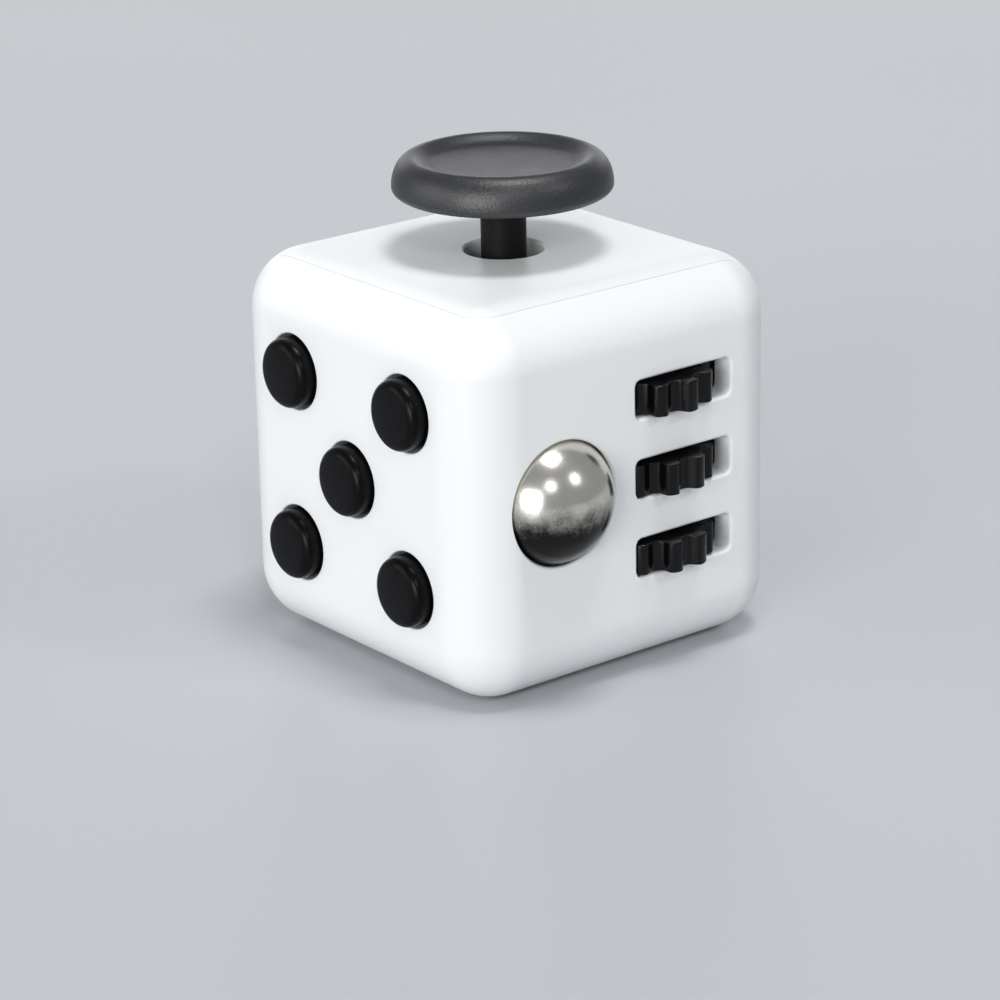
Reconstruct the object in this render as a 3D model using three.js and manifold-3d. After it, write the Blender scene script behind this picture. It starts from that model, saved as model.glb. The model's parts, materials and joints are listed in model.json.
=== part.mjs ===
// Fidget cube: a two-half casing with a different toy on each face.
// Millimetres, +Z up. The origin is the middle of the face that the cube rests on.
// +X roll face (ball, three gears), -Y click face (five buttons), +Z glide face (thumb stick),
// +Y flip face (rocker), -X spin face (dial), -Z breathe face (worry dish).
//
// Each face has its own frame: u to the right and v up as seen from outside, w out of the cube,
// with w = 0 on the flat of the face. Everything behind a face therefore has a negative w.

import * as THREE from 'three';
import { RoundedBoxGeometry } from 'three/addons/geometries/RoundedBoxGeometry.js';
import { mergeVertices } from 'three/addons/utils/BufferGeometryUtils.js';
import Module from 'manifold-3d';

const wasm = await Module();
wasm.setup();

// ---------------------------------------------------------------- driving dimensions

const CUBE = 33; // side of the casing
const EDGE = 5; // radius of its edges
const WALL = 2;
const SEAM_INSET = WALL + 0.84; // how far the seam lies behind the front half's three faces
const SEAM_CORNER = EDGE - SEAM_INSET;
const SEAM_GAP = 0.12;
const LIP = 0.6; // how far the rear half's lip reaches past the seam
const RUN = 0.1; // clearance of a sliding or turning fit
const SEAT = 0.15; // gap between pieces that stand on each other

const BUTTON = { pitch: 7.5, radius: 2.98, rise: 1.48, gap: 0.3, overlap: 0.62, flangeThick: 0.7 };
const BUTTON_HOLE = BUTTON.radius + BUTTON.gap;
const SILENT = ['1', '5']; // buttons on a rubber dome; the others press a switch
const BOARD = { w: -5.3, thick: 0.8, half: 11.6, post: 9 };

const BALL = { radius: 5.5, u: -7.4, v: 0.14, w: -2.31 };
const BALL_FOOT = BALL.w - BALL.radius;
const BALL_REAR = BALL_FOOT - 6.19; // back of the housing behind the ball

const GEAR = { tip: 5.5, tooth: 0.95, teeth: 11, thick: 2.65, w: -3.75, pitch: 6.78, middle: 0.14 };
const GEAR_GAP = 0.85; // from the ball's side to the gears' tips
const GEAR_U = BALL.u + BALL.radius + GEAR_GAP + GEAR.tip;
const GEAR_TURN = [5.4, 16.36, -13.33]; // degrees to a tooth, top gear first
const SLOT = { aside: 0.85, width: 10.2, gap: 0.61, corner: 0.6, relief: 0.12, rise: 0.16 };

const STICK = { cap: 9.24, top: 8, stem: 1.9, swing: 1.52, pivot: -7 };
const CAP = { crest: 7.55, belt: 2.5, under: 3.3, flat: 3, dish: 6.2, dip: 0.6 }; // heights down from the top

const ROCKER = { radius: 6.6, half: 4.85, pivot: -WALL - 1.1, lean: 12, face: 3.8, middle: 3.5 };

const DIAL = { radius: 10.4, recess: 0.8, rise: 2.9, shaft: 2.2 };

const DISH = { length: 20, width: 13, depth: 2.2, lift: 3 };

const SCREW = { head: 1.25, headHigh: 0.75, shank: 0.65, length: 2.7, boss: 1.5, pilot: 0.8, clear: 0.85 };
const SCREW_SLOT = { half: 0.18, long: 0.75, deep: 0.4 };
const BOSS_HIGH = 1.9; // how far a screw boss stands off the wall
const PILOT_DEEP = 0.9; // how far its hole goes on into the wall
const EAR_TOP = -WALL - BOSS_HIGH - SEAT; // a bracket's ear bears on its boss here
const EAR_THICK = 1;
const EAR_FOOT = EAR_TOP - EAR_THICK - 0.05; // underside of the screw heads on the ears

const RAD = Math.PI / 180;

// ---------------------------------------------------------------- materials

const finish = (color, roughness, metalness) => () =>
  new THREE.MeshStandardMaterial({ color, roughness, metalness });

const WHITE = finish(0xe9ebee, 0.38, 0);
const BLACK_SATIN = finish(0x17181a, 0.4, 0);
const BLACK_GLOSS = finish(0x0e0f11, 0.15, 0);
const SOFT_GREY = finish(0x3a3b3e, 0.75, 0);
const NYLON = finish(0xd8d6cc, 0.55, 0);
const STEEL = finish(0xc9ccd0, 0.12, 1);
const SPRING_STEEL = finish(0x9da1a6, 0.3, 1);
const BOARD_GREEN = finish(0x1f6b3a, 0.5, 0);
const SWITCH_GREY = finish(0x8f9296, 0.4, 0.8);
const SILICONE = finish(0xbfc4c8, 0.8, 0);

// ---------------------------------------------------------------- solids

/** The geometry's corners merged, flat slivers dropped and its faces turned outward. */
function weld(geometry) {
  const bare = new THREE.BufferGeometry();
  bare.setAttribute('position', geometry.getAttribute('position').clone());
  if (geometry.index) bare.setIndex(geometry.index.clone());
  const merged = mergeVertices(bare, 1e-4);
  const { array } = merged.getAttribute('position');
  const corner = (i) => new THREE.Vector3().fromArray(array, 3 * i);
  const faces = [];
  let volume = 0;
  for (let i = 0; i < merged.index.count; i += 3) {
    const [a, b, c] = merged.index.array.slice(i, i + 3);
    if (a === b || b === c || c === a) continue;
    faces.push([a, b, c]);
    volume += corner(a).cross(corner(b)).dot(corner(c));
  }
  if (volume < 0) faces.forEach((face) => face.reverse());
  merged.setIndex(faces.flat());
  return merged;
}

/** A geometry as a solid that can be cut and joined. */
function toSolid(geometry) {
  const welded = weld(geometry);
  return new wasm.Manifold(new wasm.Mesh({
    numProp: 3,
    vertProperties: new Float32Array(welded.getAttribute('position').array),
    triVerts: new Uint32Array(welded.index.array),
  }));
}

function toGeometry(solid) {
  const mesh = solid.getMesh();
  const geometry = new THREE.BufferGeometry();
  geometry.setAttribute('position', new THREE.Float32BufferAttribute(mesh.vertProperties, 3));
  geometry.setIndex([...mesh.triVerts]);
  return geometry;
}

const combine = (how) => (first, ...others) =>
  toGeometry(others.reduce((solid, next) => solid[how](toSolid(next)), toSolid(first)));
const cut = combine('subtract');
const join = combine('add');
const common = combine('intersect');

const moved = (geometry, x, y, z) => geometry.clone().translate(x, y, z);

function block(x0, x1, y0, y1, z0, z1) {
  return new THREE.BoxGeometry(x1 - x0, y1 - y0, z1 - z0)
    .translate((x0 + x1) / 2, (y0 + y1) / 2, (z0 + z1) / 2);
}

/** A profile of [radius, height] pairs turned about the Z axis. */
function turned(profile, segments) {
  const points = profile.map(([radius, height]) => new THREE.Vector2(radius, height));
  return weld(new THREE.LatheGeometry(points, segments).rotateX(Math.PI / 2));
}

function rod(radius, z0, z1, segments = 16) {
  return turned([[0, z0], [radius, z0], [radius, z1], [0, z1]], segments);
}

/** A closed ring with a square section, turned about Z. */
function ring(inner, outer, z0, z1, segments = 24) {
  return turned([[inner, z0], [outer, z0], [outer, z1], [inner, z1], [inner, z0]], segments);
}

const alongX = (geometry) => geometry.clone().rotateY(Math.PI / 2);
const alongY = (geometry) => geometry.clone().rotateX(-Math.PI / 2);

/** [radius, height] points of an arc, for a turned profile. */
function arc(radius, height, size, from, to, steps) {
  return Array.from({ length: steps + 1 }, (_, i) => {
    const angle = (from + (to - from) * i / steps) * RAD;
    return [radius + size * Math.cos(angle), height + size * Math.sin(angle)];
  });
}

const COIL_STEPS = 9; // straight lengths in one turn of wire

/** A coil spring from z0 to z1, wound as one round wire. */
function coil(radius, wire, z0, z1, turns) {
  const steps = turns * COIL_STEPS;
  const path = new THREE.CatmullRomCurve3(Array.from({ length: steps + 1 }, (_, i) => {
    const angle = 2 * Math.PI * i / COIL_STEPS;
    const z = z0 + wire + (z1 - z0 - 2 * wire) * i / steps;
    return new THREE.Vector3(radius * Math.cos(angle), radius * Math.sin(angle), z);
  }));
  const section = new THREE.Shape().setFromPoints(
    Array.from({ length: 5 }, (_, i) => new THREE.Vector2(wire, 0)
      .rotateAround(new THREE.Vector2(), i * Math.PI * 0.4)),
  );
  return new THREE.ExtrudeGeometry(section, { steps, bevelEnabled: false, extrudePath: path });
}

/** A slotted pan-head screw: the head's underside is at z = 0 and the shank points along +Z. */
function screw() {
  const { head, headHigh, shank, length } = SCREW;
  const body = turned([
    [0, -headHigh], [head * 0.8, -headHigh], [head, -headHigh * 0.6], [head, 0],
    [shank, 0], [shank, length - 0.4], [0, length],
  ], 10);
  const { half, long, deep } = SCREW_SLOT;
  return cut(body, block(-half, half, -long, long, -headHigh - 1, deep - headHigh));
}

// ---------------------------------------------------------------- the faces' frames

const X = new THREE.Vector3(1, 0, 0);
const Y = new THREE.Vector3(0, 1, 0);
const Z = new THREE.Vector3(0, 0, 1);
const back = (axis) => axis.clone().negate();

function faceFrame(u, v, w) {
  const centre = w.clone().multiplyScalar(CUBE / 2).add(new THREE.Vector3(0, 0, CUBE / 2));
  return new THREE.Matrix4().makeBasis(u, v, w).setPosition(centre);
}

const FACES = {
  click: faceFrame(X, Z, back(Y)),
  roll: faceFrame(Y, Z, X),
  glide: faceFrame(X, Y, Z),
  flip: faceFrame(back(X), Z, Y),
  spin: faceFrame(back(Y), Z, back(X)),
  breathe: faceFrame(X, back(Y), back(Z)),
};

const onFace = (face, geometry) => geometry.clone().applyMatrix4(FACES[face]);

const cube = new THREE.Group();

/** Adds pieces, each a [name, geometry, material], to a group. */
function add(group, pieces) {
  for (const [name, geometry, material] of pieces) {
    const mesh = new THREE.Mesh(geometry, material());
    mesh.name = name;
    group.add(mesh);
  }
}

/** Adds pieces that are given in a face's own frame. */
function fit(face, pieces) {
  const group = new THREE.Group();
  group.applyMatrix4(FACES[face]);
  add(group, pieces);
  cube.add(group);
}

/** Screws whose heads bear on a plate with its underside at w, one at each [u, v]. */
function screws(prefix, places, w) {
  return places.map(([u, v], i) => [`${prefix}_screw_${i + 1}`, moved(screw(), u, v, w), SPRING_STEEL]);
}

const clearHoles = (places, w0, w1) => places.map(([u, v]) =>
  moved(rod(SCREW.clear, w0, w1, 12), u, v, 0));

// ---------------------------------------------------------------- where things are

const BUTTONS = [[-1, 1], [1, 1], [0, 0], [-1, -1], [1, -1]]
  .map(([u, v]) => [u * BUTTON.pitch, v * BUTTON.pitch]);
const GEARS = [1, 0, -1].map((row) => GEAR.middle + row * GEAR.pitch);

// Screws on each face's wall, as [u, v].
const BALL_EAR = BALL.radius + 2.3; // from the ball's centre to its housing's screws
const BOARD_POSTS = [[0, BOARD.post], [0, -BOARD.post]];
const BALL_BOSSES = [BALL_EAR, -BALL_EAR].map((v) => [BALL.u, BALL.v + v]);
const GEAR_BOSSES = [[GEAR_U, 11.05], [GEAR_U, -11.3]];
const GLIDE_SCREWS = [[0, 6.2], [0, -6.2]];
const FLIP_BOSSES = [[8.6, 3.6], [-8.6, 3.6]];
const SPIN_BOSS = [[0, 8.6]];

// ---------------------------------------------------------------- casing

function roundedCube(inset, segments) {
  const side = CUBE - 2 * inset;
  return new RoundedBoxGeometry(side, side, side, segments, EDGE - inset).translate(0, 0, CUBE / 2);
}

/** The space of the rear half, with its rounded corner moved out by grow. */
function rearSpace(grow) {
  const side = 3 * CUBE;
  const corner = CUBE / 2 - SEAM_INSET + grow;
  return new RoundedBoxGeometry(side, side, side, 2, SEAM_CORNER + grow)
    .translate(corner - side / 2, side / 2 - corner, CUBE / 2 - corner + side / 2);
}

const bosses = (face, places, high) => places.map(([u, v]) =>
  onFace(face, moved(rod(SCREW.boss, -WALL - high, -WALL + 0.5, 12), u, v, 0)));

const pilots = (face, places, high) => places.map(([u, v]) =>
  onFace(face, moved(rod(SCREW.pilot, -WALL - high - 1, -WALL + PILOT_DEEP, 8), u, v, 0)));

// Snap tabs: [front-half face that the tab hooks into, half turn, u].
const TABS = [['click', 0, 0], ['roll', 0, BALL.u], ['breathe', 180, 0]];
const TAB_ROOT = CUBE / 2 - WALL + 0.3; // inside the rear half's wall
const TAB = {
  half: 2.5, from: TAB_ROOT - 3.9, to: TAB_ROOT,
  low: -WALL - 1.9, high: -WALL - 0.95, hook: -WALL + 0.4, hookLong: 1,
};

const tabNose = (grow) => block(
  -TAB.half - grow, TAB.half + grow, TAB.from - grow, TAB.from + TAB.hookLong + grow,
  TAB.high - grow, TAB.hook + grow,
);

/** A hooked arm on the rear half that reaches behind one of the front half's faces. */
function tabArm() {
  const { half, from, to, low, high } = TAB;
  return join(block(-half, half, from, to, low, high), tabNose(0));
}

const onTabs = (geometry) => TABS.map(([face, side, u]) =>
  onFace(face, moved(geometry.clone().rotateZ(side * RAD), u, 0, 0)));

function dishEllipsoid(grow) {
  const { length, width, depth, lift } = DISH;
  const tall = depth + lift;
  const share = Math.sqrt(1 - (lift / tall) ** 2);
  const round = new THREE.SphereGeometry(1, 24, 18).rotateX(Math.PI / 2);
  return round.scale(length / 2 / share + grow, width / 2 / share + grow, tall + grow).translate(0, 0, lift);
}

/** A slot's opening, with room behind it for the gear that is centred at v. */
function slotCutter(v) {
  const { aside, width, gap, corner, relief, rise } = SLOT;
  const height = GEAR.thick + gap;
  const [x, y] = [width / 2 - corner, height / 2 - corner];
  const outline = new THREE.Shape();
  outline.absarc(x, y, corner, 0, Math.PI / 2);
  outline.absarc(-x, y, corner, Math.PI / 2, Math.PI);
  outline.absarc(-x, -y, corner, Math.PI, Math.PI * 1.5);
  outline.absarc(x, -y, corner, Math.PI * 1.5, Math.PI * 2);
  const depth = WALL + 2;
  const slot = new THREE.ExtrudeGeometry(outline, { depth, bevelEnabled: false, curveSegments: 2 });
  const sweep = alongY(rod(GEAR.tip + relief, -height / 2, height / 2, 28));
  return join(slot.translate(GEAR_U + aside, v + rise, 1 - depth), moved(sweep, GEAR_U, v + rise, GEAR.w));
}

function frontShell() {
  const hollow = cut(roundedCube(0, 3), roundedCube(WALL, 2));
  const reach = CUBE / 2 - 0.5;
  const bulge = common(dishEllipsoid(WALL - 0.2), block(-reach, reach, -reach, reach, -8, -WALL + 0.3));
  const posts = [
    ...bosses('click', BOARD_POSTS, -BOARD.w - WALL - SEAT),
    ...bosses('roll', BALL_BOSSES, BOSS_HIGH),
    ...bosses('roll', GEAR_BOSSES, BOSS_HIGH),
  ];
  const holes = [
    ...pilots('click', BOARD_POSTS, -BOARD.w - WALL),
    ...pilots('roll', BALL_BOSSES, BOSS_HIGH),
    ...pilots('roll', GEAR_BOSSES, BOSS_HIGH),
  ];
  const openings = [
    ...BUTTONS.map(([u, v]) => onFace('click', moved(rod(BUTTON_HOLE, -WALL - 1, 1, 20), u, v, 0))),
    onFace('roll', new THREE.SphereGeometry(BALL.radius + SEAT, 24, 18).rotateX(Math.PI / 2)
      .translate(BALL.u, BALL.v, BALL.w)),
    ...GEARS.map((v) => onFace('roll', slotCutter(v))),
    onFace('breathe', dishEllipsoid(0)),
  ];
  const walls = cut(
    hollow,
    rearSpace(SEAM_GAP),
    common(roundedCube(WALL / 2 - RUN, 2), rearSpace(LIP + SEAT)),
  );
  const filled = join(walls, onFace('breathe', bulge), ...posts);
  return cut(filled, ...openings, ...holes, ...onTabs(tabNose(SEAT)));
}

function rearShell() {
  const hollow = cut(roundedCube(0, 3), roundedCube(WALL, 2));
  const lip = common(cut(roundedCube(WALL / 2, 2), roundedCube(WALL, 2)), rearSpace(LIP));
  const walls = join(common(hollow, rearSpace(0)), lip);
  const posts = [
    ...bosses('flip', FLIP_BOSSES, BOSS_HIGH),
    ...bosses('spin', SPIN_BOSS, BOSS_HIGH),
    ...onTabs(tabArm()),
  ];
  const { pivot, radius, half } = ROCKER;
  const openings = [
    onFace('glide', rod(STICK.stem + STICK.swing, -WALL - 1, 1, 28)),
    onFace('flip', moved(alongX(rod(radius + SEAT, -half - SEAT, half + SEAT, 36)), 0, 0, pivot)),
    onFace('spin', rod(DIAL.radius + 0.35, -DIAL.recess, 1, 30)),
    onFace('spin', rod(DIAL.shaft + RUN, -WALL - 1, 1, 16)),
    ...pilots('glide', GLIDE_SCREWS, 0),
    ...pilots('flip', FLIP_BOSSES, BOSS_HIGH),
    ...pilots('spin', SPIN_BOSS, BOSS_HIGH),
  ];
  return cut(join(walls, ...posts), ...openings);
}

add(cube, [['front_shell', frontShell(), WHITE], ['rear_shell', rearShell(), WHITE]]);

// ---------------------------------------------------------------- click face

const FLANGE_TOP = -WALL - SEAT;
const FLANGE_FOOT = FLANGE_TOP - BUTTON.flangeThick;
const SWITCH = { half: 1.6, high: 1.4, bore: 1, plunger: 0.85, sunk: 0.3, floor: 0.35 };
const SWITCH_TOP = BOARD.w + SWITCH.high;

function button() {
  const { radius, rise, overlap } = BUTTON;
  const flange = BUTTON_HOLE + overlap;
  const round = 0.75;
  return turned([
    [0, FLANGE_FOOT], [flange, FLANGE_FOOT], [flange, FLANGE_TOP], [radius, FLANGE_TOP],
    ...arc(radius - round, rise - round, round, 0, 90, 2), [0, rise],
  ], 20);
}

function board() {
  const { w, thick, half } = BOARD;
  const from = CUBE / 2 + BALL_REAR - 0.3;
  const reach = BALL.radius - 0.5;
  const plate = block(-half, half, -half, half, w - thick, w);
  const notch = block(from, half + 1, BALL.v - reach, BALL.v + reach, w - thick - 1, w + 1);
  return cut(plate, notch, ...clearHoles(BOARD_POSTS, w - thick - 1, w + 1));
}

/** A snap switch body on z = 0, open at the top for its plunger. */
function switchBody() {
  const { half, high, bore, floor } = SWITCH;
  return cut(block(-half, half, -half, half, 0, high), rod(bore, floor, high + 1, 12));
}

function dome() {
  const [foot, top] = [BOARD.w + 0.1, FLANGE_FOOT - 0.1];
  return turned([
    [2.9, foot], [2.9, foot + 0.4], [2.1, top], [1.2, top], [1.2, top - 0.35], [1.9, top - 0.35],
    [2.5, foot], [2.9, foot],
  ], 16);
}

const NUMBERED = BUTTONS.map((place, i) => [String(i + 1), ...place]);
const CLICKY = NUMBERED.filter(([id]) => !SILENT.includes(id));
const QUIET = NUMBERED.filter(([id]) => SILENT.includes(id));
const BOARD_BACK = BOARD.w - BOARD.thick - 0.05;

fit('click', [
  ...NUMBERED.map(([id, u, v]) => [`click_button_${id}`, moved(button(), u, v, 0), BLACK_SATIN]),
  ['click_board', board(), BOARD_GREEN],
  ...CLICKY.map(([id, u, v]) => [
    `click_switch_${id}`,
    moved(switchBody(), u, v, BOARD.w + 0.05), SWITCH_GREY,
  ]),
  ...CLICKY.map(([id, u, v]) => [
    `click_plunger_${id}`,
    moved(rod(SWITCH.plunger, SWITCH_TOP - SWITCH.sunk, FLANGE_FOOT - 0.05, 12), u, v, 0), BLACK_SATIN,
  ]),
  ...QUIET.map(([id, u, v]) => [`click_dome_${id}`, moved(dome(), u, v, 0), SILICONE]),
  ...screws('board', BOARD_POSTS, BOARD_BACK),
]);

// ---------------------------------------------------------------- roll face: ball

const CUP = { radius: 4, back: BALL_FOOT - 1.49, rim: BALL_FOOT + 1.21 };
const HOUSING = {
  inner: CUP.radius + SEAT, outer: CUP.radius + 0.8,
  floor: BALL_REAR + 0.8, back: BALL_REAR, top: CUP.back + 1.7,
};
// The housing's two arms: a lug on the tube, a riser that bows clear of the ball, and an ear.
const ARM = {
  half: 1.7, riser: BALL.radius + SEAT, thick: 0.8,
  foot: HOUSING.top - 1.6, lugTop: HOUSING.top - 0.4, ear: BALL_EAR + 1.5,
};

function ballCup() {
  const hollow = new THREE.SphereGeometry(BALL.radius + RUN, 24, 18).rotateX(Math.PI / 2);
  return cut(rod(CUP.radius, CUP.back, CUP.rim, 24), hollow.translate(0, 0, BALL.w));
}

function ballHousing() {
  const { inner, outer, floor, top } = HOUSING;
  const { half, riser, thick, foot, lugTop, ear } = ARM;
  const tube = turned([
    [0, HOUSING.back], [outer, HOUSING.back], [outer, top], [inner, top], [inner, floor], [0, floor],
  ], 24);
  const arm = join(
    block(-half, half, outer - 0.4, riser + thick, foot, lugTop),
    block(-half, half, riser, riser + thick, foot, EAR_TOP),
    block(-half, half, riser, ear, EAR_TOP - EAR_THICK, EAR_TOP),
  );
  const drilled = cut(arm, ...clearHoles([[0, BALL_EAR]], EAR_TOP - 2, EAR_TOP + 1));
  return join(tube, drilled, drilled.clone().rotateZ(Math.PI));
}

const atBall = (geometry) => moved(geometry, BALL.u, BALL.v, 0);
const BALL_SWITCH = {
  foot: HOUSING.floor + 0.05,
  plunger: HOUSING.floor + SWITCH.high - SWITCH.sunk + 0.05,
  top: CUP.back - 0.05,
};

fit('roll', [
  ['roller_ball', new THREE.SphereGeometry(BALL.radius, 24, 18).rotateX(Math.PI / 2)
    .translate(BALL.u, BALL.v, BALL.w), STEEL],
  ['ball_cup', atBall(ballCup()), NYLON],
  ['ball_spring', atBall(coil(3.2, 0.28, BALL_SWITCH.foot, BALL_SWITCH.top, 3)), SPRING_STEEL],
  ['ball_switch', moved(atBall(switchBody()), 0, 0, BALL_SWITCH.foot), SWITCH_GREY],
  ['ball_plunger', atBall(rod(SWITCH.plunger, BALL_SWITCH.plunger, BALL_SWITCH.top, 12)), BLACK_SATIN],
  ['ball_housing', atBall(ballHousing()), NYLON],
  ...screws('ball', BALL_BOSSES, EAR_FOOT),
]);

// ---------------------------------------------------------------- roll face: gears

const AXLE = { radius: 1.1, bore: 1.25 };
const BRACKET = {
  half: 1.9, back: GEAR.w - GEAR.tip - 2.55, web: 1.1, end: -WALL - 0.4, plate: 0.8, gap: 0.3, ear: 1.8,
};

/** One gear, centred on the origin with its axle along Y and a tooth at the given angle from Z to X. */
function gear(turn) {
  const { tip, tooth, teeth, thick } = GEAR;
  const step = 2 * Math.PI / teeth;
  // One flank from foot to tip, as [share of a step, radius].
  const flank = [[0.3, tip - tooth], [0.2, tip - 0.25], [0.1, tip]];
  const profile = [...flank.map(([share, radius]) => [-share, radius]), ...flank.reverse()];
  const outline = new THREE.Shape(Array.from({ length: teeth }, (_, i) => profile.map(([share, radius]) =>
    new THREE.Vector2(radius, 0).rotateAround(new THREE.Vector2(), (i + share) * step))).flat());
  outline.holes.push(new THREE.Path().absarc(0, 0, AXLE.bore, 0, 2 * Math.PI, true));
  const flat = { depth: thick, bevelEnabled: false, curveSegments: 12 };
  const disc = new THREE.ExtrudeGeometry(outline, flat).translate(0, 0, -thick / 2);
  return alongY(disc.rotateZ((turn - 90) * RAD));
}

/** The comb that carries the axle: a plate above and below each gear, and a web behind them. */
function gearBracket() {
  const { half, back: rear, web, end, plate, gap, ear } = BRACKET;
  const reach = GEAR.thick / 2 + gap;
  const [top, middle, bottom] = GEARS;
  const slab = (v0, v1) => block(-half, half, v0, v1, rear, end);
  const earUp = (v0, v1) => block(-ear, ear, v0, v1, EAR_TOP - EAR_THICK, EAR_TOP);
  const comb = join(
    block(-half, half, bottom - reach - plate, top + reach + plate, rear, rear + web),
    slab(top + reach, top + reach + plate),
    slab(middle + reach, top - reach),
    slab(bottom + reach, middle - reach),
    slab(bottom - reach - plate, bottom - reach),
    earUp(top + reach, 13),
    earUp(-13.2, bottom - reach),
  );
  const bore = moved(alongY(rod(AXLE.radius + 0.05, -20, 20, 12)), 0, 0, GEAR.w);
  const places = GEAR_BOSSES.map(([, v]) => [0, v]);
  return moved(cut(comb, bore, ...clearHoles(places, EAR_TOP - 2, EAR_TOP + 1)), GEAR_U, 0, 0);
}

const AXLE_REACH = GEAR.thick / 2 + BRACKET.gap + BRACKET.plate - 0.1;
const axle = alongY(rod(AXLE.radius, GEARS[2] - AXLE_REACH, GEARS[0] + AXLE_REACH, 12));

fit('roll', [
  ...GEARS.map((v, i) => [`gear_${i + 1}`, moved(gear(GEAR_TURN[i]), GEAR_U, v, GEAR.w), BLACK_GLOSS]),
  ['gear_axle', moved(axle, GEAR_U, 0, GEAR.w), STEEL],
  ['gear_bracket', gearBracket(), NYLON],
  ...screws('gear', GEAR_BOSSES, EAR_FOOT),
]);

// ---------------------------------------------------------------- glide face

const GIMBAL = { inner: 3.2, outer: 4.6, half: 0.8, trunnion: 0.7, reach: 6, pin: 0.45 };
const FRAME = {
  legIn: 5.1, legOut: 6.3, legHalf: 1.6, floor: -12.4, thick: 1, flange: 8, flangeFoot: -WALL - 1.9,
};
const STEM = {
  foot: -9.4, footRadius: STICK.stem + 0.5, shoulder: STICK.top - 4.8, plug: 1.2, plugTop: STICK.top - 2.8,
};

/** The thumb cap: a full round rim about a shallow dish, hollow below, with a socket for the stem. */
function stickCap() {
  const { crest, belt, under, flat, dish, dip } = CAP;
  const { cap, top } = STICK;
  const rim = arc(0, 0, 1, 0, 90, 4).map(([across, up]) =>
    [crest + (cap - crest) * across, top - belt * (1 - up)]);
  const socket = [STEM.plug + 0.1, STEM.shoulder + SEAT];
  const boss = [STEM.footRadius + 0.5, STEM.footRadius + 0.7];
  return turned([
    [0, STEM.plugTop + SEAT], [socket[0], STEM.plugTop + SEAT], socket, [boss[0], socket[1]],
    [boss[1], top - flat], [crest, top - flat], [crest + 0.6, top - under], [cap - 0.3, top - under + 0.1],
    ...rim, [dish, top - dip], [0, top - dip - 0.12],
  ], 30);
}

function stickStem() {
  const { foot, footRadius, shoulder, plug, plugTop } = STEM;
  const shaft = turned([
    [0, foot], [footRadius, foot], [footRadius, foot + 0.6], [STICK.stem, foot + 0.8],
    [STICK.stem, shoulder], [plug, shoulder], [plug, plugTop], [0, plugTop],
  ], 20);
  return cut(shaft, moved(alongY(rod(GIMBAL.pin + 0.1, -5, 5, 12)), 0, 0, STICK.pivot));
}

function gimbalRing() {
  const { inner, outer, half, trunnion, reach, pin } = GIMBAL;
  const trunnions = cut(alongX(rod(trunnion, -reach, reach, 12)), rod(inner + 0.3, -5, 5, 24));
  const body = join(ring(inner, outer, -half, half, 24), trunnions);
  return moved(cut(body, alongY(rod(pin + 0.1, -outer - 1, outer + 1, 12))), 0, 0, STICK.pivot);
}

/** A stirrup screwed under the top wall: a flange, two legs that hold the trunnions, and a floor. */
function glideFrame() {
  const { legIn, legOut, legHalf, floor, thick, flange, flangeFoot } = FRAME;
  const leg = block(legIn, legOut, -legHalf, legHalf, floor - thick, flangeFoot + 0.5);
  const body = join(
    ring(3.7, flange, flangeFoot, -WALL - SEAT, 24),
    leg,
    leg.clone().rotateZ(Math.PI),
    block(-legOut, legOut, -legHalf, legHalf, floor - thick, floor),
    rod(3, floor - thick, floor, 20),
  );
  const bearing = moved(alongX(rod(GIMBAL.trunnion + RUN, -8, 8, 12)), 0, 0, STICK.pivot);
  return cut(body, bearing, ...clearHoles(GLIDE_SCREWS, flangeFoot - 1, 0));
}

const pinAcross = (radius, half) => alongY(rod(radius, -half, half, 12));

fit('glide', [
  ['joystick_cap', stickCap(), SOFT_GREY],
  ['joystick_stem', stickStem(), BLACK_SATIN],
  ['joystick_pin', moved(pinAcross(GIMBAL.pin, GIMBAL.outer - 0.1), 0, 0, STICK.pivot), STEEL],
  ['gimbal_ring', gimbalRing(), NYLON],
  ['glide_frame', glideFrame(), NYLON],
  ['return_spring', coil(1.8, 0.25, FRAME.floor + 0.05, STEM.foot - 0.05, 3), SPRING_STEEL],
  ...screws('glide', GLIDE_SCREWS, FRAME.flangeFoot - 0.05),
]);

// ---------------------------------------------------------------- flip face

const FLIP = {
  plateIn: 5.15, plateOut: 6.15, half: 2.2, low: 1.9, high: 5.3,
  floor: -8.2, thick: 1, top: -WALL - 0.2, ear: 10.3, pin: 0.75,
};

/** An outline of [v, w] points, extruded from -half to half along the U axis. */
function acrossU(points, half) {
  const outline = new THREE.Shape(points.map(([v, w]) => new THREE.Vector2(v, w)));
  const flat = { depth: 2 * half, bevelEnabled: false };
  const bar = new THREE.ExtrudeGeometry(outline, flat).translate(0, 0, -half);
  const turn = new THREE.Matrix4().makeBasis(Y, Z, X);
  return bar.applyMatrix4(turn);
}

/** A half outline from the middle outward and back to it, with its mirror image. */
const mirrored = (points) => [...points, ...points.slice(0, -1).reverse().map(([v, w]) => [-v, w])];

/** The rocker about its own pin, leaning to one side. */
function rocker() {
  const { radius, half, lean, face, middle } = ROCKER;
  const lip = Math.asin(face / radius) / RAD;
  const end = arc(0, 0, radius, -8, lip, 4);
  const outline = [[0, -3.3], [1.3, -2.2], [4.4, -1.9], ...end, [2.2, middle + 0.06], [0, middle]];
  const body = cut(acrossU(mirrored(outline).slice(0, -1), half), alongX(rod(FLIP.pin + RUN, -6, 6, 14)));
  return body.rotateX(lean * RAD);
}

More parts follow.
